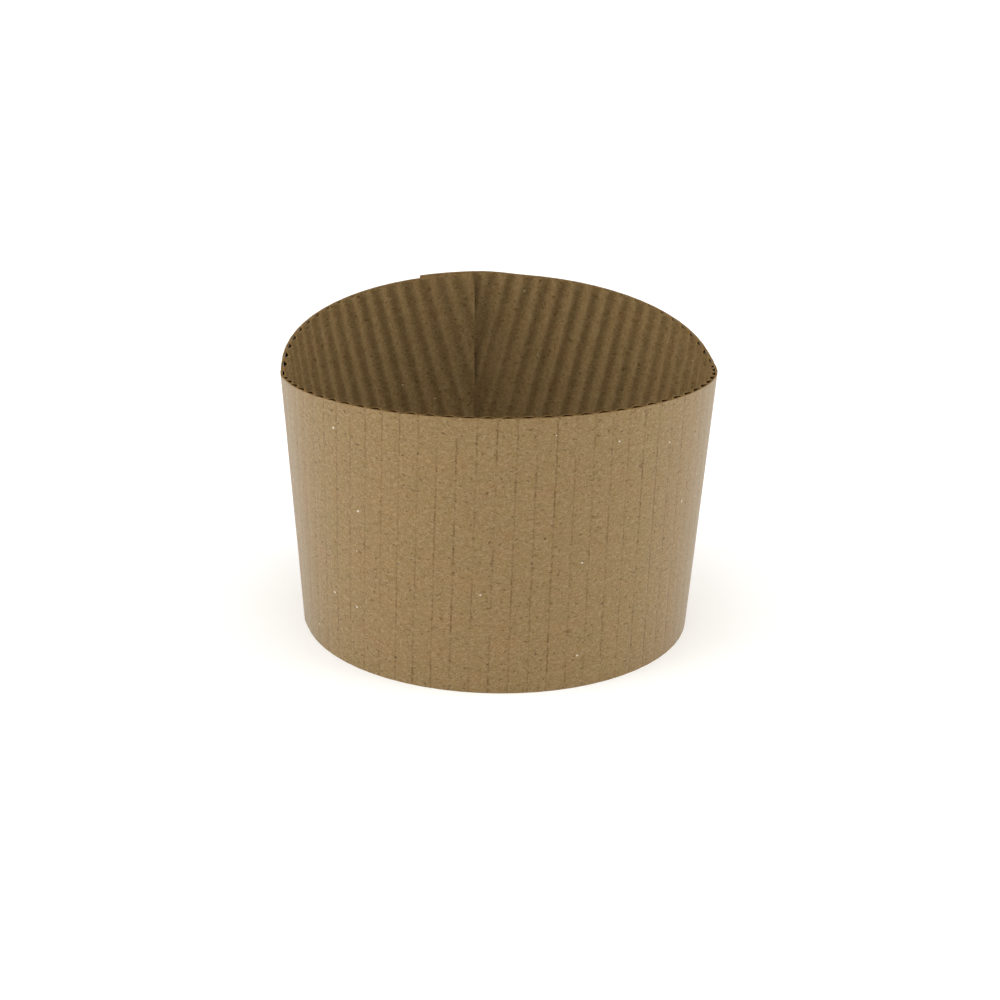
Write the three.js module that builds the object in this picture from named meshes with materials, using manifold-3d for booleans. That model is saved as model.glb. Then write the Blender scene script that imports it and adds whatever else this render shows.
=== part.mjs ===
// Coffee cup sleeve: a curved blank of single-face corrugated board, rolled into a cone
// and glued to itself along a lap at the back. A flat liner faces out, and a fluted
// medium faces the cup. The flutes run parallel across the flat blank, so on the cone
// they stand upright opposite the lap and lean more and more towards it.
// Millimetres, +Z up. The lower edge lies flat at Z = 0, the middle of the front panel
// faces -Y, and the Z axis runs up the middle of the sleeve's bounding box.

import * as THREE from 'three';
import { mergeVertices } from 'three/addons/utils/BufferGeometryUtils.js';
import Module from 'manifold-3d';

const degree = Math.PI / 180;

// Driving dimensions of the rolled sleeve, measured on its outer face
const lowerRadius = 32;
const flare = 3.65; // how much larger the radius is at the top of the side creases
const creaseHeight = 43.6; // height of the side creases, from the lower edge to the upper
const panelRise = 4.8; // how far the upper edge bows above the creases at a panel's middle
const creaseBulge = 0.2; // how far each crease stands out from the round
const creaseSpread = 2.4; // half width of the bulge along the board

// Driving dimensions of the board
const boardThickness = 1.2;
const linerThickness = 0.3;
const mediumThickness = 0.22;
const flutePitch = 3.15;
const bondDepth = 0.05; // how far each flute tip is pressed into the liner

// Driving dimensions of the glued lap
const lapWidth = 9;
const lapTurn = 8 * degree; // angle from the middle of the back panel to the lap
const glueThickness = 0.1;
const glueSoak = 0.1; // how far the glue goes into the board on each side of it
const glueMargin = 1.5; // bare board between the glue and the edges of the lap
const stepLength = 8; // board that the outer end takes to climb over the inner end
const stepClearance = 0.8; // from the foot of the inner end's edge to the full climb
const cornerFlat = 1.5; // length of the blunt tip at each upper corner of the blank

// Fineness of the faceted surfaces
const columnsPerFlute = 6;
const linerColumnsPerFlute = 2;
const rowsUpTheFlute = 4;
const glueColumns = 3;
const edgeSettlingRounds = 6;

// The cone that the outer face lies on, and the fan that it unrolls to
const taper = Math.atan(flare / creaseHeight);
const apexDepth = lowerRadius / Math.tan(taper); // apex to lower edge, along the axis
const fanPerTurn = Math.sin(taper); // angle in the fan for each radian round the cone
const lowerFanRadius = apexDepth / Math.cos(taper);
const middleRadius = lowerRadius + flare / 2;
const halfLapAngle = lapWidth / 2 / middleRadius;
const endAngle = Math.PI + halfLapAngle; // from the blank's middle line to each end
const endFanAngle = endAngle * fanPerTurn;

// The lap lifts the back panel only, so the cone stands forward by half of its lift.
const lapRise = boardThickness + glueThickness;
const forwardShift = lapRise / 2;

// Height of the upper edge at an angle round from the front: each panel's edge is a
// shallow arc that is lowest at the creases, a quarter turn from the panel's middle.
function upperEdgeHeight(angleFromFront) {
  const halfTurns = Math.round(angleFromFront / Math.PI);
  const fromMiddle = (angleFromFront - halfTurns * Math.PI) / (Math.PI / 2);
  return creaseHeight + panelRise * (1 - fromMiddle * fromMiddle);
}

// In the flat blank, u runs across the flutes and v along them, away from the apex.
// Angles round the cone are measured from the blank's middle line, lapTurn from the front.
function angleOnCone(u, v) {
  return Math.atan2(u, v) / fanPerTurn;
}

function upperFanRadius(angle) {
  return (upperEdgeHeight(angle + lapTurn) + apexDepth) / Math.cos(taper);
}

// The end of a flute at the upper edge, where the edge's radius and the angle agree.
function upperEnd(u) {
  let v = apexDepth;
  for (let round = 0; round < edgeSettlingRounds; round += 1) {
    const radius = upperFanRadius(angleOnCone(u, v));
    v = Math.sqrt(radius * radius - u * u);
  }
  return v;
}

// The end of a flute at the lower edge or, past its corners, at a straight end of the blank.
function lowerEnd(u) {
  const cornerU = lowerFanRadius * Math.sin(endFanAngle);
  if (Math.abs(u) > cornerU) {
    return Math.abs(u) / Math.tan(endFanAngle);
  }
  return Math.sqrt(lowerFanRadius * lowerFanRadius - u * u);
}

// Reach of the blank to one side of its middle line, up to the blunt tip of its corner.
function blankReach(side) {
  const tip = upperFanRadius(side * endAngle) * Math.sin(endFanAngle);
  return tip - cornerFlat * Math.sin(endFanAngle) * Math.cos(endFanAngle);
}

const leftReach = blankReach(-1);
const rightReach = blankReach(1);
const fluteCount = Math.round((leftReach + rightReach) / flutePitch);

// The fluted medium, between the liner and the cup
const outerTipDepth = linerThickness - bondDepth;
const waveHeight = boardThickness - outerTipDepth - mediumThickness;

// The open ring that the board's section is drawn as
const drawingTurn = 6;
const drawingGap = (2 * Math.PI - drawingTurn) / 2;
const drawingRadius = (leftReach + rightReach) / drawingTurn;

function smoothStep(x) {
  const t = THREE.MathUtils.clamp(x, 0, 1);
  return t * t * (3 - 2 * t);
}

// How far the board is lifted off the cone, as its outer end climbs over the inner end.
function lapLift(angle) {
  const fullAngle = Math.PI - halfLapAngle - stepClearance / middleRadius;
  const climb = 1 + (angle - fullAngle) * middleRadius / stepLength;
  return lapRise * smoothStep(climb);
}

// How far a side crease stands out, as a rounded ridge along the board.
function creaseLift(angleFromFront) {
  const quarterTurns = angleFromFront / (Math.PI / 2);
  const nearestCrease = 2 * Math.round((quarterTurns - 1) / 2) + 1;
  const distance = (quarterTurns - nearestCrease) * (Math.PI / 2) * middleRadius;
  return creaseBulge * Math.exp(-((distance / creaseSpread) ** 2));
}

// A point of the board on the rolled sleeve. Its depth is measured inwards from the outer
// face and square to it, so both edges stay level.
function rollUp(target, angle, fanRadius, depth) {
  const angleFromFront = angle + lapTurn;
  const outward = lapLift(angle) + creaseLift(angleFromFront) - depth;
  const radius = fanRadius * fanPerTurn + outward / Math.cos(taper);
  const height = fanRadius * Math.cos(taper) - apexDepth;
  return target.set(
    radius * Math.sin(angleFromFront),
    -radius * Math.cos(angleFromFront) - forwardShift,
    height,
  );
}

// A closed mesh with each of its vertices moved to a place worked out from its own.
function moveVertices(geometry, place) {
  geometry.deleteAttribute('normal');
  geometry.deleteAttribute('uv');
  const merged = mergeVertices(geometry);
  const position = merged.getAttribute('position');
  const point = new THREE.Vector3();
  for (let index = 0; index < position.count; index += 1) {
    point.fromBufferAttribute(position, index);
    place(point, point.x, point.y, point.z);
    position.setXYZ(index, point.x, point.y, point.z);
  }
  return merged;
}

// The board's section across the flutes is drawn as an open ring, so that the faces of its
// two ends stay short. Across is a fraction of the blank's whole width.
function drawPoint(across, depth) {
  const angle = drawingGap + across * drawingTurn;
  const radius = drawingRadius - depth;
  return new THREE.Vector2(radius * Math.sin(angle), -radius * Math.cos(angle));
}

function acrossOfDrawn(x, y) {
  const angle = THREE.MathUtils.euclideanModulo(Math.atan2(x, -y), 2 * Math.PI);
  return (angle - drawingGap) / drawingTurn;
}

// Depth of the medium's outer side: a cosine wave whose outer tips are bonded into the liner.
function waveDepth(across) {
  return outerTipDepth + waveHeight * (1 - Math.cos(2 * Math.PI * fluteCount * across)) / 2;
}

// The hollow between the liner and the medium, from one outer tip of the wave to the next.
function fluteHollow(flute) {
  const bondWidth = Math.acos(1 - 2 * bondDepth / waveHeight) / (2 * Math.PI);
  const points = [drawPoint((flute + bondWidth) / fluteCount, linerThickness)];
  for (let column = 1; column < columnsPerFlute; column += 1) {
    const across = (flute + column / columnsPerFlute) / fluteCount;
    points.push(drawPoint(across, waveDepth(across)));
  }
  points.push(drawPoint((flute + 1 - bondWidth) / fluteCount, linerThickness));
  return new THREE.Path(points);
}

// Liner and fluted medium as one section: the liner's outer side, back along the inner side
// of the medium, and a hollow for each flute.
function boardSection() {
  const outline = [];
  const linerColumns = fluteCount * linerColumnsPerFlute;
  for (let column = 0; column <= linerColumns; column += 1) {
    outline.push(drawPoint(column / linerColumns, 0));
  }
  const waveColumns = fluteCount * columnsPerFlute;
  for (let column = waveColumns; column >= 0; column -= 1) {
    const across = column / waveColumns;
    outline.push(drawPoint(across, waveDepth(across) + mediumThickness));
  }
  const section = new THREE.Shape(outline);
  for (let flute = 0; flute < fluteCount; flute += 1) {
    section.holes.push(fluteHollow(flute));
  }
  return section;
}

// The section is extruded along the flutes, and each flute is cut to length by the edges of
// the blank and rolled up with it.
function rolledBoard() {
  const straight = new THREE.ExtrudeGeometry(boardSection(), {
    depth: 1,
    steps: rowsUpTheFlute,
    bevelEnabled: false,
  });
  return moveVertices(straight, (point, x, y, along) => {
    const u = acrossOfDrawn(x, y) * (leftReach + rightReach) - leftReach;
    const v = THREE.MathUtils.lerp(lowerEnd(u), upperEnd(u), along);
    rollUp(point, angleOnCone(u, v), Math.hypot(u, v), drawingRadius - Math.hypot(x, y));
  });
}

// The layer of glue in the lap, between the liner of the inner end and the flute tips of
// the outer end. It soaks into both.
function lapGlue() {
  const halfAngle = (lapWidth / 2 - glueMargin) / middleRadius;
  const lowerSide = (apexDepth + glueMargin) / Math.cos(taper);
  const upperSide = (apexDepth + creaseHeight - glueMargin) / Math.cos(taper);
  const innerDepth = lapRise + glueSoak;
  const outerDepth = boardThickness - glueSoak;
  const block = new THREE.BoxGeometry(1, 1, 1, glueColumns, rowsUpTheFlute, 1);
  block.translate(0, 0.5, 0.5);
  return moveVertices(block, (point, across, along, facing) => {
    const fanRadius = THREE.MathUtils.lerp(lowerSide, upperSide, along);
    const depth = THREE.MathUtils.lerp(innerDepth, outerDepth, facing);
    rollUp(point, Math.PI + 2 * across * halfAngle, fanRadius, depth);
  });
}

const wasm = await Module();
wasm.setup();

function toSolid(geometry) {
  return new wasm.Manifold(new wasm.Mesh({
    numProp: 3,
    vertProperties: new Float32Array(geometry.getAttribute('position').array),
    triVerts: new Uint32Array(geometry.index.array),
  }));
}

function toGeometry(solid) {
  const mesh = solid.getMesh();
  const geometry = new THREE.BufferGeometry();
  geometry.setAttribute('position', new THREE.BufferAttribute(mesh.vertProperties, mesh.numProp));
  geometry.setIndex(new THREE.BufferAttribute(mesh.triVerts, 1));
  geometry.computeVertexNormals();
  return geometry;
}

function sleeve() {
  const gluedBoard = toSolid(rolledBoard()).add(toSolid(lapGlue()));
  const kraftBoard = new THREE.MeshStandardMaterial({
    color: '#a08762',
    roughness: 0.9,
    metalness: 0,
    flatShading: true,
  });
  const mesh = new THREE.Mesh(toGeometry(gluedBoard), kraftBoard);
  mesh.name = 'sleeve';
  return mesh;
}

const coffeeCupSleeve = new THREE.Group();
coffeeCupSleeve.add(sleeve());

export default coffeeCupSleeve;
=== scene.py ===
import math

import bpy
import numpy as np
from mathutils import Matrix, Vector


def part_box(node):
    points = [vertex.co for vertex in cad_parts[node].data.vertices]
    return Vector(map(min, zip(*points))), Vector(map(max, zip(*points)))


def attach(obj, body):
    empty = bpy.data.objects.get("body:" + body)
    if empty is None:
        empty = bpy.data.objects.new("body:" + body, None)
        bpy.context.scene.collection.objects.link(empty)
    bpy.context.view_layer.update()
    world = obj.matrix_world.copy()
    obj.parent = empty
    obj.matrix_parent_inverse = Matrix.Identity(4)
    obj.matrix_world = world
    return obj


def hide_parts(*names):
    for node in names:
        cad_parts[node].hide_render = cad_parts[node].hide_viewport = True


# Coffee cup sleeve of single-face corrugated board: a smooth kraft liner outside, a fluted
# medium inside, rolled into a cone, creased at both sides and glued along a lap at the back.
# Metres, +Z up, the front panel's middle faces -Y.

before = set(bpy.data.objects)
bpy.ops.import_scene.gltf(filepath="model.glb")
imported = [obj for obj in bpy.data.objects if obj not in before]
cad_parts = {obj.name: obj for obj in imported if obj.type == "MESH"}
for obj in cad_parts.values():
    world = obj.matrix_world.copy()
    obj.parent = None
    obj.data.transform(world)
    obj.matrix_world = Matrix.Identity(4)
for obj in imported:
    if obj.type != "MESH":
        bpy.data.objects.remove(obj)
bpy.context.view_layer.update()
mm = 0.001
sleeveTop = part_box("sleeve")[1][2]
print("frame loaded")


# The blank and its cone

blank = {
    "lowerRadius": 32.0 * mm,  # outer face, at the lower edge
    "flare": 3.65 * mm,        # how much larger the radius is at the top of the creases
    "panelRise": 4.8 * mm,     # how far the upper edge bows above the creases
    "thickness": 1.2 * mm,
    "liner": 0.3 * mm,
    "medium": 0.22 * mm,
    "flutePitch": 3.15 * mm,
    "bond": 0.05 * mm,         # flute tips pressed into the liner
    "lapWidth": 9.0 * mm,
    "lapTurn": math.radians(8),
    "glue": 0.1 * mm,
    "climb": 8.0 * mm,         # board that the outer end takes to climb over the inner end
    "climbGap": 0.8 * mm,      # from the inner end's edge to the full climb
    "cornerFlat": 1.5 * mm,    # blunt tip at each upper corner of the blank
    "creaseBulge": 0.2 * mm,
    "creaseSpread": 2.4 * mm,
    "settlingRounds": 6,       # in which the upper end of each flute is found
}

creaseTop = sleeveTop - blank["panelRise"]
taper = math.atan(blank["flare"] / creaseTop)
apexDepth = blank["lowerRadius"] / math.tan(taper)
fanPerTurn = math.sin(taper)
middleRadius = blank["lowerRadius"] + blank["flare"] / 2
halfLap = blank["lapWidth"] / 2 / middleRadius
endAngle = math.pi + halfLap
endFan = endAngle * fanPerTurn
lowerFanRadius = apexDepth / math.cos(taper)
lapRise = blank["thickness"] + blank["glue"]
forwardShift = lapRise / 2     # the cone stands forward by half of the lap's lift


# Upper edge above the floor: a shallow arc on each panel, lowest at the creases. Its rise
# falls off with the square of the angle from the panel's middle.
def upperEdge(fromFront):
    fromMiddle = fromFront - np.round(fromFront / math.pi) * math.pi
    return creaseTop + blank["panelRise"] * (1 - (fromMiddle / (math.pi / 2)) ** 2)


# The same edge in the flat fan: its height above the cone's apex, measured along the slope
def upperFanRadius(angle):
    return (upperEdge(angle + blank["lapTurn"]) + apexDepth) / math.cos(taper)


# How far the blank reaches to one side of its middle line, up to the blunt tip of its corner
def reach(side):
    tip = upperFanRadius(side * endAngle) * math.sin(endFan)
    return float(tip - blank["cornerFlat"] * math.sin(endFan) * math.cos(endFan))


leftReach, rightReach = reach(-1), reach(1)
fluteCount = round((leftReach + rightReach) / blank["flutePitch"])
flutePitch = (leftReach + rightReach) / fluteCount


# Where the flute at u meets the lower edge, or past its corners a straight end of the blank
def lowerEnd(u):
    arc = np.sqrt(np.maximum(lowerFanRadius ** 2 - u ** 2, 0))
    cornerU = lowerFanRadius * math.sin(endFan)
    return np.where(np.abs(u) > cornerU, np.abs(u) / math.tan(endFan), arc)


# Where it meets the upper edge, found by settling the edge's radius and the angle together
def upperEnd(u):
    v = np.full_like(u, apexDepth)
    for _ in range(blank["settlingRounds"]):
        v = np.sqrt(upperFanRadius(np.arctan2(u, v) / fanPerTurn) ** 2 - u ** 2)
    return v


# From 0 to 1 with level ends: three times the square of x less twice its cube
def smoothStep(x):
    t = np.clip(x, 0, 1)
    return t * t * (3 - 2 * t)


# How far the outer end is lifted as it climbs over the inner end: a smooth step of the
# distance round the cone, full a little before the overlap begins
def lapLift(angle):
    full = math.pi - halfLap - blank["climbGap"] / middleRadius
    climb = 1 + (angle - full) * middleRadius / blank["climb"]
    return lapRise * smoothStep(climb)


# Distance round the cone from the nearer side crease, an odd number of quarter turns from
# the front
def creaseDistance(fromFront):
    quarters = fromFront / (math.pi / 2)
    nearest = 2 * np.round((quarters - 1) / 2) + 1
    return (quarters - nearest) * (math.pi / 2) * middleRadius


# How far a crease stands out: a low bell-shaped ridge along the board
def creaseLift(fromFront):
    return blank["creaseBulge"] * np.exp(-(creaseDistance(fromFront) / blank["creaseSpread"]) ** 2)


# A point of the flat blank rolled up: its place in the fan gives the angle round the cone
# and the height, and its depth is measured inwards from the outer face
def rollUp(angle, fanRadius, depth):
    fromFront = angle + blank["lapTurn"]
    outward = lapLift(angle) + creaseLift(fromFront) - depth
    radius = fanRadius * fanPerTurn + outward / math.cos(taper)
    height = fanRadius * math.cos(taper) - apexDepth
    forward = -radius * np.cos(fromFront) - forwardShift
    return np.stack([radius * np.sin(fromFront), forward, height], axis=-1)


# Meshes

sheetMesh = {
    "rowGathering": 0.11,      # share by which the rows gather at the cut edges
    "sharpAngle": math.radians(50),  # beyond which an edge isn't shaded smooth
    "driftWaves": 5,
}


# A closed sheet of the whole blank on a grid: columns follow the flutes and rows run across
# them. outerDepth and innerDepth give its two sides from the flat place (u, v) and the
# angle round the cone. The cut edges all round close it and take the second material.
# The attribute "flat" keeps each point's u, v and depth, "turn" its angle from the front and
# "inner" its side of the sheet.
def blankSheet(name, columns, rows, outerDepth, innerDepth):
    u = np.linspace(-leftReach, rightReach, columns + 1)
    low, high = lowerEnd(u), upperEnd(u)
    along = smoothRows(rows)[:, None]
    v = low + along * (high - low)
    u = np.broadcast_to(u, v.shape)
    angle = np.arctan2(u, v) / fanPerTurn
    fanRadius = np.hypot(u, v)
    sides, flats = [], []
    for depthAt in (outerDepth, innerDepth):
        depth = depthAt(u, v, angle)
        sides.append(rollUp(angle, fanRadius, depth).reshape(-1, 3))
        flats.append(np.stack([u, v, depth], axis=-1).reshape(-1, 3))
    made = meshPiece(name, np.concatenate(sides), *closedFaces(v.shape), 1)
    storeVectors(made, "flat", np.concatenate(flats))
    storeValues(made, "turn", np.tile((angle + blank["lapTurn"]).ravel(), 2))
    storeValues(made, "inner", np.repeat([0.0, 1.0], v.size))
    return made


# The four-cornered faces of a closed sheet, from the shape of its grid: the outer side, the
# inner side with its points numbered after the outer ones, and the strip round them
def closedFaces(shape):
    index = np.arange(shape[0] * shape[1]).reshape(shape)
    outer = np.stack([index[:-1, :-1], index[:-1, 1:], index[1:, 1:], index[1:, :-1]], axis=-1)
    outer = outer.reshape(-1, 4)
    ring = np.concatenate([index[0], index[1:, -1], index[-1, -2::-1], index[-2:0:-1, 0]])
    after = np.roll(ring, -1)
    strip = np.stack([after, ring, ring + index.size, after + index.size], axis=-1)
    faces = np.concatenate([outer, outer[:, ::-1] + index.size, strip])
    return faces, np.arange(len(faces)) >= 2 * len(outer)


# Row places from 0 to 1: even steps less a small sine of them, so that the rows stand closer
# together near both ends, where the cut edges are
def smoothRows(rows):
    even = np.linspace(0, 1, rows + 1)
    return even - sheetMesh["rowGathering"] * np.sin(2 * math.pi * even)


# A mesh object of four-cornered faces, smooth but for its sharp edges
def meshPiece(name, points, faces, onStrip, stripMaterial):
    starts = np.arange(0, faces.size, faces.shape[1], dtype=np.int32)
    data = bpy.data.meshes.new(name)
    data.vertices.add(len(points))
    data.vertices.foreach_set("co", points.astype(np.float32).ravel())
    data.loops.add(faces.size)
    data.loops.foreach_set("vertex_index", faces.astype(np.int32).ravel())
    data.polygons.add(len(faces))
    data.polygons.foreach_set("loop_start", starts)
    data.polygons.foreach_set("material_index", onStrip.astype(np.int32) * stripMaterial)
    data.update(calc_edges=True)
    data.validate()
    data.polygons.foreach_set("use_smooth", np.ones(len(data.polygons), dtype=bool))
    data.set_sharp_from_angle(angle=sheetMesh["sharpAngle"])
    piece = bpy.data.objects.new(name, data)
    bpy.context.scene.collection.objects.link(piece)
    return piece


def storeVectors(piece, name, vectors):
    kept = piece.data.attributes.new(name, "FLOAT_VECTOR", "POINT")
    kept.data.foreach_set("vector", vectors.astype(np.float32).ravel())


def storeValues(piece, name, values):
    kept = piece.data.attributes.new(name, "FLOAT", "POINT")
    kept.data.foreach_set("value", values.astype(np.float32))


# Slow, even unevenness from a few crossed sine waves, between -1 and 1
def drift(x, y, seed):
    made = np.random.default_rng(seed)
    total = 0
    for _ in range(sheetMesh["driftWaves"]):
        turn, phase = made.uniform(0, 2 * math.pi, 2)
        total = total + np.sin(x * math.cos(turn) + y * math.sin(turn) + phase)
    return total / sheetMesh["driftWaves"]


linerPiece = {
    "columnsPerFlute": 8,
    "rows": 58,
    "washboard": 0.03 * mm,    # how far the face is drawn in along each glued flute tip
    "tipSharpness": 3,         # power that narrows the cosine to the tip
    "unevenness": 0.02 * mm,
    "unevenLength": 7 * mm,
    "unevenSeed": 4,
}


# Place in the board's wave: one full turn for each flute, from the blank's left end
def flutePhase(u):
    return 2 * math.pi * (u + leftReach) / flutePitch


# Depth of the liner's outer face: a raised cosine draws it in a little where the flute tips
# are glued behind it, and a slow drift makes it uneven. The angle is there for blankSheet.
def linerFace(u, v, angle):
    length = linerPiece["unevenLength"]
    uneven = drift(u / length, v / length, linerPiece["unevenSeed"])
    nearTip = ((1 + np.cos(flutePhase(u))) / 2) ** linerPiece["tipSharpness"]
    return linerPiece["washboard"] * nearTip + linerPiece["unevenness"] * uneven


# Its glued side, a paper's thickness further in
def linerBack(u, v, angle):
    return linerFace(u, v, angle) + blank["liner"]


def makeLiner():
    columns = fluteCount * linerPiece["columnsPerFlute"]
    return blankSheet("liner", columns, linerPiece["rows"], linerFace, linerBack)


mediumPiece = {
    "columnsPerFlute": 16,
    "rows": 34,
    "heightSpread": 0.05,      # share by which the flutes differ in height
    "creaseCrush": 0.45,       # share of the height lost along the fold creases
    "crushSpread": 1.6 * mm,
    "unevenLength": 11 * mm,   # across the flutes
    "unevenStretch": 3,        # how many times longer the drift is along them
    "unevenSeed": 9,
}


# Depth of the medium's outer side: a cosine wave bonded to the liner at its outer tips. A
# slow drift makes the flutes uneven in height, and a bell-shaped share crushes them along
# the creases.
def waveFace(u, v, angle):
    outerTip = blank["liner"] - blank["bond"]
    height = blank["thickness"] - outerTip - blank["medium"]
    length = mediumPiece["unevenLength"]
    uneven = drift(u / length, v / (mediumPiece["unevenStretch"] * length),
                   mediumPiece["unevenSeed"])
    fromCrease = creaseDistance(angle + blank["lapTurn"])
    crush = mediumPiece["creaseCrush"] * np.exp(-(fromCrease / mediumPiece["crushSpread"]) ** 2)
    share = (1 - mediumPiece["heightSpread"] * (0.5 + 0.5 * uneven)) * (1 - crush)
    return outerTip + height * share * (1 - np.cos(flutePhase(u))) / 2


# Its inner side, towards the cup, a paper's thickness further in
def waveBack(u, v, angle):
    return waveFace(u, v, angle) + blank["medium"]


def makeMedium():
    columns = fluteCount * mediumPiece["columnsPerFlute"]
    return blankSheet("fluted_medium", columns, mediumPiece["rows"], waveFace, waveBack)


glueLayer = {
    "columns": 40,
    "rows": 120,
    "margin": 1.5 * mm,        # bare board between the glue and the edges of the lap
    "soak": 0.05 * mm,         # how far it goes into the board on each side
    "ragged": 0.14,            # share of the half width by which the squeezed edge wanders
    "raggedLength": 1.3 * mm,
    "raggedSeed": 21,
}


# The lap's glue: a thin layer between the inner end's face and the outer end's flute tips.
# Its half width wanders up and down the lap, which makes the squeezed edge ragged.
def makeLapGlue():
    across = np.linspace(-1, 1, glueLayer["columns"] + 1)
    along = np.linspace(0, 1, glueLayer["rows"] + 1)[:, None]
    lowSide = (apexDepth + glueLayer["margin"]) / math.cos(taper)
    highSide = (apexDepth + creaseTop - glueLayer["margin"]) / math.cos(taper)
    fanRadius = np.broadcast_to(lowSide + along * (highSide - lowSide), (along.size, across.size))
    wander = 1 + glueLayer["ragged"] * drift(fanRadius / glueLayer["raggedLength"], across,
                                             glueLayer["raggedSeed"])
    halfAngle = (blank["lapWidth"] / 2 - glueLayer["margin"]) / middleRadius
    angle = math.pi + across * halfAngle * wander
    sides, flats = [], []
    for depth in (blank["thickness"] - glueLayer["soak"], lapRise + glueLayer["soak"]):
        sides.append(rollUp(angle, fanRadius, depth).reshape(-1, 3))
        flat = [fanRadius * np.sin(angle * fanPerTurn), fanRadius * np.cos(angle * fanPerTurn)]
        flats.append(np.stack(flat + [np.full_like(angle, depth)], axis=-1).reshape(-1, 3))
    made = meshPiece("lap_glue", np.concatenate(sides), *closedFaces(angle.shape), 0)
    storeVectors(made, "flat", np.concatenate(flats))
    return made


# Materials

# An sRGB hex value as the linear colour that Blender's sockets take
def linearColour(code):
    parts = [int(code[i:i + 2], 16) / 255 for i in (1, 3, 5)]
    return tuple(p / 12.92 if p <= 0.04045 else ((p + 0.055) / 1.055) ** 2.4 for p in parts) + (1,)


# Adds a node with its settings, and sets or links its inputs
def addNode(tree, kind, settings=None, inputs=None):
    node = tree.nodes.new(kind)
    for key, value in (settings or {}).items():
        setattr(node, key, value)
    for socket, value in (inputs or {}).items():
        if isinstance(value, bpy.types.NodeSocket):
            tree.links.new(value, node.inputs[socket])
        else:
            node.inputs[socket].default_value = value
    return node


def newMaterial(name):
    made = bpy.data.materials.new(name)
    made.use_nodes = True
    made.node_tree.nodes.clear()
    return made, made.node_tree


def calculate(tree, operation, *values):
    node = addNode(tree, "ShaderNodeMath", {"operation": operation}, dict(enumerate(values)))
    return node.outputs[0]


# Brings a share from 0 to 1 up to one from least to 1
def atLeast(tree, share, least):
    return calculate(tree, "MULTIPLY_ADD", share, 1 - least, least)


# Eases a value from 0 at start to 1 at end; start may be the larger of the two
def rise(tree, value, start, end):
    node = addNode(tree, "ShaderNodeMapRange", {"interpolation_type": "SMOOTHSTEP"},
                   {"Value": value, "From Min": start, "From Max": end})
    return node.outputs["Result"]


# Lays a tone over a colour where amount is high
def tinted(tree, colour, tone, amount, strength=1.0):
    share = calculate(tree, "MULTIPLY", amount, strength)
    node = addNode(tree, "ShaderNodeMix", {"data_type": "RGBA"},
                   {0: share, 6: colour, 7: linearColour(tone)})
    return node.outputs[2]


def keptValue(tree, name):
    return addNode(tree, "ShaderNodeAttribute", {"attribute_name": name}).outputs["Fac"]


# The sheet's own place in millimetres: x across the flutes, y along them, z into the board
def sheetPlace(tree):
    kept = addNode(tree, "ShaderNodeAttribute", {"attribute_name": "flat"}).outputs["Vector"]
    scaled = addNode(tree, "ShaderNodeVectorMath", {"operation": "SCALE"},
                     {0: kept, "Scale": 1 / mm})
    return scaled.outputs["Vector"]


# Soft noise whose clouds are about width by height millimetres
def noiseOf(tree, place, width, height, detail=2.0, shift=0.0, roughness=0.5):
    moved = addNode(tree, "ShaderNodeMapping", None,
                    {"Vector": place, "Location": (shift, shift, shift),
                     "Scale": (1 / width, 1 / height, 1 / width)})
    node = addNode(tree, "ShaderNodeTexNoise", None,
                   {"Vector": moved.outputs["Vector"], "Scale": 1.0, "Detail": detail,
                    "Roughness": roughness})
    return node.outputs["Fac"]


speckShape = {
    "sizeSpread": 0.6,         # share of the radius that differs from speck to speck
    "softEdge": 0.5,           # share of the radius over which a speck fades out
    "drawStep": 0.02,          # how sharply a cell has one or has none
}


# Specks strewn one to a cell: share is how many cells hold one, and radius its largest size
def specksOf(tree, place, cell, stretch, share, radius, shift):
    moved = addNode(tree, "ShaderNodeMapping", None,
                    {"Vector": place, "Location": (shift, shift, 0),
                     "Scale": (1 / cell / stretch, 1 / cell, 0)})
    cells = addNode(tree, "ShaderNodeTexVoronoi", {"voronoi_dimensions": "2D"},
                    {"Vector": moved.outputs["Vector"], "Scale": 1.0})
    draw = addNode(tree, "ShaderNodeSeparateColor", None, {"Color": cells.outputs["Color"]})
    held = rise(tree, draw.outputs["Red"], 1 - share, 1 - share + speckShape["drawStep"])
    spread = speckShape["sizeSpread"]
    size = calculate(tree, "MULTIPLY_ADD", draw.outputs["Green"], spread * radius / cell,
                     (1 - spread) * radius / cell)
    inside = rise(tree, cells.outputs["Distance"], size,
                  calculate(tree, "MULTIPLY", size, speckShape["softEdge"]))
    return calculate(tree, "MULTIPLY", inside, held)


fibreShape = {
    "stretch": 1.5,            # how much further a fibre wanders across the flutes
    "edges": (1.5, 0.4),       # where it fades in, in half widths
    "endHeight": 0.7,          # of the noise that ends the fibres, as a share of the curl
    "endShift": 9.0,
    "endSoftness": 0.06,
}


# Curled fibres: the thin course along which a noise passes its middle value, kept where a
# second noise is above the limit, so that each fibre has two ends
def fibresOf(tree, place, curl, thickness, limit, shift):
    course = noiseOf(tree, place, curl * fibreShape["stretch"], curl, detail=1.0, shift=shift)
    fromCourse = calculate(tree, "ABSOLUTE", calculate(tree, "SUBTRACT", course, 0.5))
    halfWidth = 0.5 * thickness / curl
    outer, inner = fibreShape["edges"]
    fibre = rise(tree, fromCourse, outer * halfWidth, inner * halfWidth)
    ends = noiseOf(tree, place, curl, curl * fibreShape["endHeight"], detail=1.0,
                   shift=shift + fibreShape["endShift"])
    kept = rise(tree, ends, limit, limit + fibreShape["endSoftness"])
    return calculate(tree, "MULTIPLY", fibre, kept)


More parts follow.
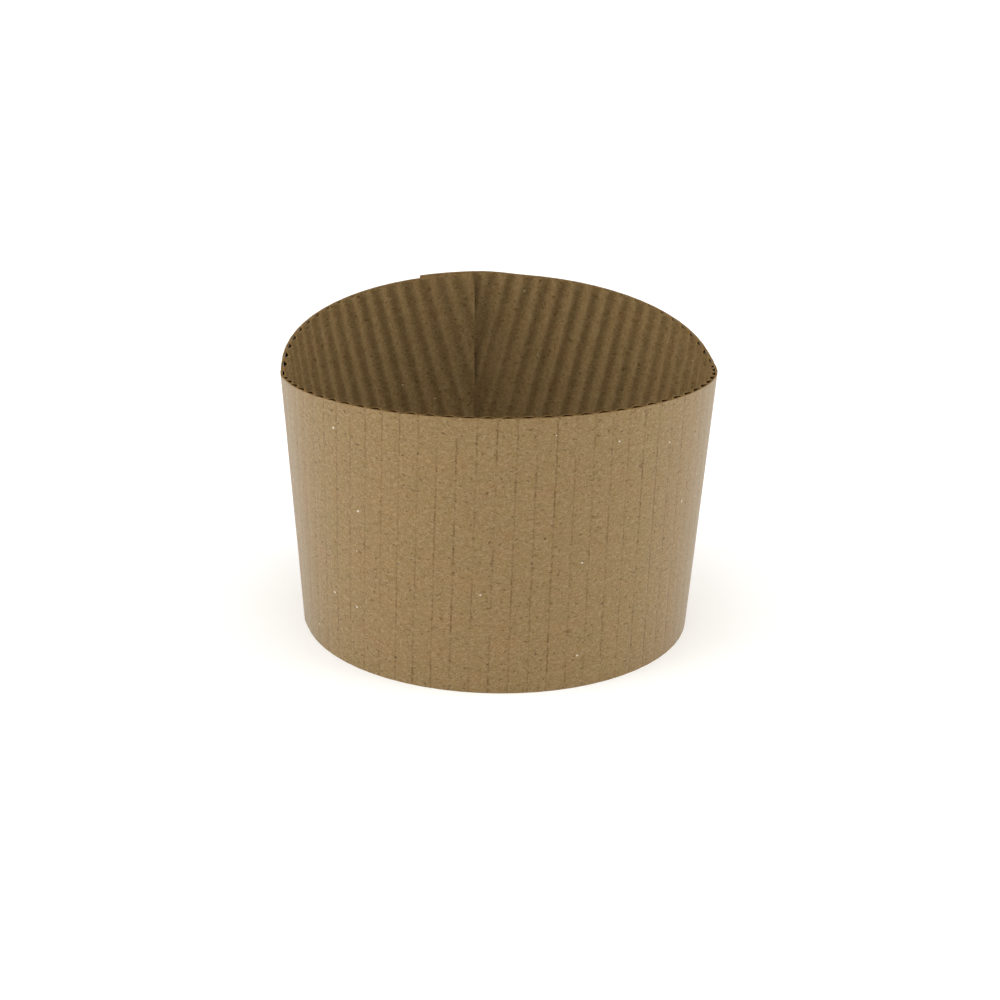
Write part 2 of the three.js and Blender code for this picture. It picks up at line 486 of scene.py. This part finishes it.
# Marks in millimetres. Most fibres lie across the flutes, the way the paper ran on its
# machine. Fibres and grain are drawn about twice as coarse as real ones, so that they show.
kraftMarks = {
    "cloud": {"width": 3.4, "height": 2.4, "detail": 4.0, "shift": 3.0, "roughness": 0.6},
    "tint": {"width": 5.0, "height": 3.4, "detail": 3.0, "shift": 17.0, "roughness": 0.6},
    "blotch": {"width": 1.0, "height": 0.8, "detail": 2.0, "shift": 29.0, "roughness": 0.6},
    "grain": {"width": 0.3, "height": 0.22, "detail": 2.0, "shift": 5.0, "roughness": 0.7},
    "darkFibre": {"curl": 0.8, "thickness": 0.12, "limit": 0.63, "shift": 11.0},
    "longFibre": {"curl": 2.0, "thickness": 0.14, "limit": 0.68, "shift": 23.0},
    "paleFibre": {"curl": 0.7, "thickness": 0.15, "limit": 0.55, "shift": 37.0},
    "darkSpeck": {"cell": 2.2, "stretch": 1.4, "share": 0.14, "radius": 0.2, "shift": 2.0},
    "fineSpeck": {"cell": 0.8, "stretch": 1.5, "share": 0.15, "radius": 0.13, "shift": 7.0},
    "paleFlake": {"cell": 4.2, "stretch": 1.3, "share": 0.1, "radius": 0.22, "shift": 19.0},
}

kraftShares = {"longFibre": 0.6, "fineSpeck": 0.55}  # against the dark fibres and specks

# Tones laid over the ground colour from below: the tone, the mark that shows it, the values
# of the mark between which it eases in, and its strength
kraftLayers = [
    ("deep", "cloud", (0.34, 0.66), 1.2),
    ("warm", "tint", (0.45, 0.7), 1.0),
    ("dark", "blotch", (0.46, 0.72), 0.5),
    ("dark", "grain", (0.47, 0.72), 1.0),
    ("pale", "grain", (0.51, 0.3), 1.0),
    ("pale", "blotch", (0.48, 0.3), 0.4),
    ("pale", "paleFibre", None, 0.8),
    ("strand", "darkFibre", None, 1.4),
    ("speck", "speck", None, 1.5),
    ("flake", "flake", None, 1.4),
]

# How much each mark raises the surface, as a share of the finish's depth
kraftRelief = {"blotch": 0.5, "grain": 0.6, "paleFibre": 0.2, "darkFibre": -0.25}


# Colour and height of recycled kraft paper, from its ground colour and its darker, redder
# and paler tones: soft clouds, blotches, fine grain, curled fibres, and specks of other pulp
def kraftPaper(tree, place, tones, strength):
    marks = {name: noiseOf(tree, place, **kraftMarks[name])
             for name in ("cloud", "tint", "blotch", "grain")}
    marks["darkFibre"] = calculate(tree, "MULTIPLY_ADD", kraftShares["longFibre"],
                                   fibresOf(tree, place, **kraftMarks["longFibre"]),
                                   fibresOf(tree, place, **kraftMarks["darkFibre"]))
    marks["paleFibre"] = fibresOf(tree, place, **kraftMarks["paleFibre"])
    fineSpeck = calculate(tree, "MULTIPLY", kraftShares["fineSpeck"],
                          specksOf(tree, place, **kraftMarks["fineSpeck"]))
    marks["speck"] = calculate(tree, "MAXIMUM", fineSpeck,
                               specksOf(tree, place, **kraftMarks["darkSpeck"]))
    marks["flake"] = specksOf(tree, place, **kraftMarks["paleFlake"])
    colour = linearColour(tones["ground"])
    for tone, mark, between, share in kraftLayers:
        amount = rise(tree, marks[mark], *between) if between else marks[mark]
        colour = tinted(tree, colour, tones[tone], amount, share * strength)
    height = 0.0
    for mark, share in kraftRelief.items():
        height = calculate(tree, "MULTIPLY_ADD", marks[mark], share, height)
    return colour, height


# The paper's shader, its height as bump and its soft sheen from loose fibres
def paperShader(tree, colour, height, finish):
    bump = addNode(tree, "ShaderNodeBump", None,
                   {"Height": height, "Distance": finish["depth"], "Strength": finish["bump"]})
    shader = addNode(tree, "ShaderNodeBsdfPrincipled", None,
                     {"Base Color": colour, "Normal": bump.outputs["Normal"],
                      "Roughness": finish["roughness"], "IOR": 1.5,
                      "Specular IOR Level": finish["specular"],
                      "Sheen Weight": finish["sheen"], "Sheen Roughness": finish["sheenRoughness"],
                      "Sheen Tint": linearColour("#FFFFFF")})
    addNode(tree, "ShaderNodeOutputMaterial", None, {"Surface": shader.outputs[0]})


linerKraft = {
    "tones": {"ground": "#8A7145", "deep": "#816B40", "warm": "#8D6D42", "dark": "#6E4A06",
              "pale": "#A48C67", "strand": "#503200", "speck": "#271604", "flake": "#F2ECDD"},
    "strength": 0.51,          # of all the tones over the ground
    "lineRelief": -0.6,        # depth of a flute line, as a share of the finish's depth
    "creaseRelief": -1.2,
    "finish": {"depth": 0.06 * mm, "bump": 0.6, "roughness": 0.72, "specular": 0.45,
               "sheen": 0.35, "sheenRoughness": 0.4},
}


# The line of a flute tip, in millimetres. Each noise has its sizes, and the pair of values
# between which it eases in; least is what stays where it is weakest.
glueLine = {
    "tone": "#5A3800",
    "strength": 0.95,
    "width": 0.26,
    "edges": (1.8, 0.3),       # where the line fades in, in half widths
    "wander": 0.1,
    "wanderNoise": {"width": 1.2, "height": 1.6, "shift": 31.0},
    "dashNoise": {"width": 0.4, "height": 0.9, "shift": 41.0},
    "dashes": {"between": (0.42, 0.6), "least": 0.25},
    "fadeNoise": {"width": 3.0, "height": 9.0, "shift": 43.0},
    "fades": {"between": (0.38, 0.6), "least": 0.4},
    "fluteLeast": 0.5,         # strength of the faintest flute
}


# A share that a noise carries between least and 1
def brokenShare(tree, place, noise, between, least):
    return atLeast(tree, rise(tree, noiseOf(tree, place, **noise), *between), least)


# How strongly each point of the liner shows the dark line of a flute tip: a straight line of
# dashes, stronger on some flutes than on others, and faded over some stretches
def glueLines(tree, place):
    acrossFlutes = addNode(tree, "ShaderNodeSeparateXYZ", None, {"Vector": place}).outputs["X"]
    wander = calculate(tree, "MULTIPLY_ADD", noiseOf(tree, place, **glueLine["wanderNoise"]),
                       2 * glueLine["wander"], -glueLine["wander"])
    flutes = calculate(tree, "MULTIPLY_ADD", calculate(tree, "ADD", acrossFlutes, wander),
                       mm / flutePitch, leftReach / flutePitch + 0.5)
    middle = calculate(tree, "SUBTRACT", calculate(tree, "FRACT", flutes), 0.5)
    halfWidth = glueLine["width"] / 2 * mm / flutePitch
    outer, inner = glueLine["edges"]
    core = rise(tree, calculate(tree, "ABSOLUTE", middle), outer * halfWidth, inner * halfWidth)
    draw = addNode(tree, "ShaderNodeTexWhiteNoise", {"noise_dimensions": "1D"},
                   {"W": calculate(tree, "FLOOR", flutes)}).outputs["Value"]
    flute = atLeast(tree, draw, glueLine["fluteLeast"])
    dashes = brokenShare(tree, place, glueLine["dashNoise"], **glueLine["dashes"])
    fades = brokenShare(tree, place, glueLine["fadeNoise"], **glueLine["fades"])
    shown = calculate(tree, "MULTIPLY", calculate(tree, "MULTIPLY", dashes, fades), flute)
    return calculate(tree, "MULTIPLY", core, shown)


# Distance in millimetres from the nearer fold crease, a quarter turn from the front
def fromCreaseLine(tree):
    turn = calculate(tree, "ABSOLUTE", keptValue(tree, "turn"))
    away = calculate(tree, "ABSOLUTE", calculate(tree, "SUBTRACT", turn, math.pi / 2))
    return calculate(tree, "MULTIPLY", away, middleRadius / mm)


# The two fold creases, in millimetres from their line
foldCrease = {
    "worn": (0.7, 0.1),        # where the pale wear fades in
    "wornNoise": {"width": 0.5, "height": 1.1, "shift": 71.0},
    "wornPatches": (0.35, 0.65),
    "wornStrength": 0.7,
    "core": (0.22, 0.04),      # where the fold's groove fades in: its painted shade and its sunken relief
    "coreStrength": 0.5,
}


# Uncoated recycled kraft liner, calendered on the machine: matt and speckled, with a broken
# dark line where each flute tip is glued behind it, worn pale along the fold creases, and
# with painted shade in the groove of each crease
def linerMaterial():
    made, tree = newMaterial("kraft_liner")
    place = sheetPlace(tree)
    tones = linerKraft["tones"]
    colour, height = kraftPaper(tree, place, tones, linerKraft["strength"])
    lines = glueLines(tree, place)
    colour = tinted(tree, colour, glueLine["tone"], lines, glueLine["strength"])
    away = fromCreaseLine(tree)
    patches = noiseOf(tree, place, **foldCrease["wornNoise"])
    worn = calculate(tree, "MULTIPLY", rise(tree, away, *foldCrease["worn"]),
                     rise(tree, patches, *foldCrease["wornPatches"]))
    # The groove along each fold crease: it takes painted shade in the colour and sinks in the bump
    core = rise(tree, away, *foldCrease["core"])
    colour = tinted(tree, colour, tones["pale"], worn, foldCrease["wornStrength"])
    # painted shade in the groove of each fold crease, in the paper's dark tone
    colour = tinted(tree, colour, tones["dark"], core, foldCrease["coreStrength"])
    height = calculate(tree, "MULTIPLY_ADD", lines, linerKraft["lineRelief"], height)
    height = calculate(tree, "MULTIPLY_ADD", core, linerKraft["creaseRelief"], height)
    paperShader(tree, colour, height, linerKraft["finish"])
    return made


mediumKraft = {
    "tones": {"ground": "#826B46", "deep": "#755F3A", "warm": "#836441", "dark": "#5E4A27",
              "pale": "#96805A", "strand": "#4A3418", "speck": "#2B1F12", "flake": "#D8CDB2"},
    "strength": 0.42,
    "rubbed": {"depth": 0.25, "patches": (0.35, 0.6), "strength": 0.2,
               "noise": {"width": 0.8, "height": 3.0, "detail": 3.0, "shift": 51.0}},
    # painted shade inside the flutes: a near-black tone on the side of the medium that faces the
    # liner
    "hollow": {"tone": "#241404", "between": (0.75, 0.25), "strength": 0.92},
    "finish": {"depth": 0.08 * mm, "bump": 0.7, "roughness": 0.9, "specular": 0.08,
               "sheen": 0.0, "sheenRoughness": 0.5},
}


# Recycled fluting paper, wetted and pressed between hot rolls: rougher and darker than the
# liner, and rubbed paler along its tips. The side that faces the liner is drawn darker than
# it is, since hardly any light gets into the flutes.
def mediumMaterial():
    made, tree = newMaterial("fluting_paper")
    place = sheetPlace(tree)
    tones = mediumKraft["tones"]
    colour, height = kraftPaper(tree, place, tones, mediumKraft["strength"])
    depth = addNode(tree, "ShaderNodeSeparateXYZ", None, {"Vector": place}).outputs["Z"]
    rub, hollow = mediumKraft["rubbed"], mediumKraft["hollow"]
    innerTip = blank["thickness"] / mm
    rubbed = calculate(tree, "MULTIPLY", rise(tree, depth, innerTip - rub["depth"], innerTip),
                       rise(tree, noiseOf(tree, place, **rub["noise"]), *rub["patches"]))
    colour = tinted(tree, colour, tones["pale"], rubbed, rub["strength"])
    # painted shade on the side of the medium that faces the liner
    facesLiner = rise(tree, keptValue(tree, "inner"), *hollow["between"])
    colour = tinted(tree, colour, hollow["tone"], facesLiner, hollow["strength"])
    paperShader(tree, colour, height, mediumKraft["finish"])
    return made


cutKraft = {
    "tones": {"ground": "#765A33", "deep": "#684D28", "warm": "#74552F", "dark": "#4E3819",
              "pale": "#8F744A", "strand": "#3E2A12", "speck": "#20140A", "flake": "#C8BB9C"},
    "strength": 0.5,
    "finish": {"depth": 0.12 * mm, "bump": 1.0, "roughness": 0.95, "specular": 0.08,
               "sheen": 0.0, "sheenRoughness": 0.5},
}


# The board's die-cut edges: torn fibre, rougher and a little darker than the faces
def cutMaterial():
    made, tree = newMaterial("cut_edge")
    colour, height = kraftPaper(tree, sheetPlace(tree), cutKraft["tones"], cutKraft["strength"])
    paperShader(tree, colour, height, cutKraft["finish"])
    return made


glueFilm = {
    "wet": "#C9B995",
    "dry": "#DED3B8",
    "cloud": {"width": 0.9, "height": 0.9, "detail": 3.0, "shift": 61.0},
    "patches": (0.35, 0.65),
    "depth": 0.05 * mm,
    "bump": 0.6,
    "roughness": 0.32,
}


# Dried starch glue: a tan film that takes the board's colour and shines a little
def glueMaterial():
    made, tree = newMaterial("dried_glue")
    cloud = noiseOf(tree, sheetPlace(tree), **glueFilm["cloud"])
    colour = tinted(tree, linearColour(glueFilm["wet"]), glueFilm["dry"],
                    rise(tree, cloud, *glueFilm["patches"]))
    bump = addNode(tree, "ShaderNodeBump", None,
                   {"Height": cloud, "Distance": glueFilm["depth"], "Strength": glueFilm["bump"]})
    shader = addNode(tree, "ShaderNodeBsdfPrincipled", None,
                     {"Base Color": colour, "Roughness": glueFilm["roughness"], "IOR": 1.47,
                      "Normal": bump.outputs["Normal"]})
    addNode(tree, "ShaderNodeOutputMaterial", None, {"Surface": shader.outputs[0]})
    return made


# Pieces

cutEdge = cutMaterial()
liner = makeLiner()
liner.data.materials.append(linerMaterial())
liner.data.materials.append(cutEdge)
print("liner made:", len(liner.data.polygons), "faces")

medium = makeMedium()
medium.data.materials.append(mediumMaterial())
medium.data.materials.append(cutEdge)
print("fluted medium made:", len(medium.data.polygons), "faces")

lapGlue = makeLapGlue()
lapGlue.data.materials.append(glueMaterial())
print("lap glue made:", len(lapGlue.data.polygons), "faces")

for piece in (liner, medium, lapGlue):
    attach(piece, "root")
    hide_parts("sleeve")


# Camera at the photograph's view: a long lens looking down on the sleeve

view = {
    "lens": 121.96,
    "sensor": 36,
    "farClip": 20,
    "orbit": math.radians(7),  # the camera stands to the left of the panel's middle
    "pitch": math.radians(21.9),
    "roll": math.radians(-0.922),
    "distance": 564.27 * mm,
    "aim": (0.462 * mm, -0.711 * mm, 20.52 * mm),
}


def placeCamera():
    data = bpy.data.cameras.new("camera")
    data.lens = view["lens"]
    data.sensor_width = view["sensor"]
    data.clip_end = view["farClip"]
    camera = bpy.data.objects.new("camera", data)
    level = math.cos(view["pitch"])
    ahead = Vector((math.sin(view["orbit"]) * level, math.cos(view["orbit"]) * level,
                    -math.sin(view["pitch"])))
    turn = Matrix.Rotation(view["roll"], 4, ahead)
    camera.matrix_world = turn @ ahead.to_track_quat("-Z", "Y").to_matrix().to_4x4()
    camera.location = Vector(view["aim"]) - ahead * view["distance"]
    bpy.context.scene.collection.objects.link(camera)
    bpy.context.scene.camera = camera


placeCamera()


# Floor and light: a pale floor in an even white studio, with soft boxes at both sides

studio = {
    "floorColour": "#F4F4F2",
    "floorSize": 6.0,
    "floorGlow": 0.16,         # added for the camera, so that the floor reads as white
    "worldLevel": 0.55,
    "boxes": [
        {"name": "left_box", "place": (-0.9, -0.15, 0.5), "size": 0.9, "power": 6.2},
        {"name": "right_box", "place": (0.9, -0.15, 0.5), "size": 0.9, "power": 5.5},
        {"name": "top_box", "place": (0.0, -0.1, 1.1), "size": 0.9, "power": 4.4},
        {"name": "front_box", "place": (-0.2, -1.2, 0.22), "size": 0.8, "power": 1.2},
    ],
    "boxAim": (0.0, 0.0, 0.025),
}


# A flat floor that takes the shadow, and glows a little for the camera alone
def makeFloor():
    half = studio["floorSize"] / 2
    data = bpy.data.meshes.new("floor")
    corners = [(-half, -half, 0), (half, -half, 0), (half, half, 0), (-half, half, 0)]
    data.from_pydata(corners, [], [(0, 1, 2, 3)])
    floor = bpy.data.objects.new("floor", data)
    bpy.context.scene.collection.objects.link(floor)
    made, tree = newMaterial("pale_floor")
    diffuse = addNode(tree, "ShaderNodeBsdfDiffuse", None,
                      {"Color": linearColour(studio["floorColour"])})
    seen = addNode(tree, "ShaderNodeLightPath").outputs["Is Camera Ray"]
    glow = addNode(tree, "ShaderNodeEmission", None,
                   {"Strength": calculate(tree, "MULTIPLY", seen, studio["floorGlow"])})
    both = addNode(tree, "ShaderNodeAddShader", None, {0: diffuse.outputs[0], 1: glow.outputs[0]})
    addNode(tree, "ShaderNodeOutputMaterial", None, {"Surface": both.outputs[0]})
    data.materials.append(made)


# White for the camera and for reflections, and plain soft light on everything
def makeWorld():
    world = bpy.data.worlds.new("studio")
    world.use_nodes = True
    tree = world.node_tree
    tree.nodes.clear()
    paths = addNode(tree, "ShaderNodeLightPath")
    seen = calculate(tree, "MAXIMUM", paths.outputs["Is Camera Ray"],
                     calculate(tree, "MAXIMUM", paths.outputs["Is Glossy Ray"],
                               paths.outputs["Is Transmission Ray"]))
    level = atLeast(tree, seen, studio["worldLevel"])
    lit = addNode(tree, "ShaderNodeBackground", None,
                  {"Color": linearColour("#FFFFFF"), "Strength": level})
    addNode(tree, "ShaderNodeOutputWorld", None, {"Surface": lit.outputs[0]})
    bpy.context.scene.world = world


# Square soft boxes, all turned to the sleeve's middle
def makeBoxes():
    for box in studio["boxes"]:
        data = bpy.data.lights.new(box["name"], "AREA")
        data.size = box["size"]
        data.energy = box["power"]
        lamp = bpy.data.objects.new(box["name"], data)
        lamp.location = box["place"]
        toAim = Vector(studio["boxAim"]) - lamp.location
        lamp.rotation_euler = toAim.to_track_quat("-Z", "Y").to_euler()
        bpy.context.scene.collection.objects.link(lamp)


makeFloor()
makeWorld()
makeBoxes()
bpy.context.scene.view_settings.view_transform = "Standard"
print("camera and studio placed")
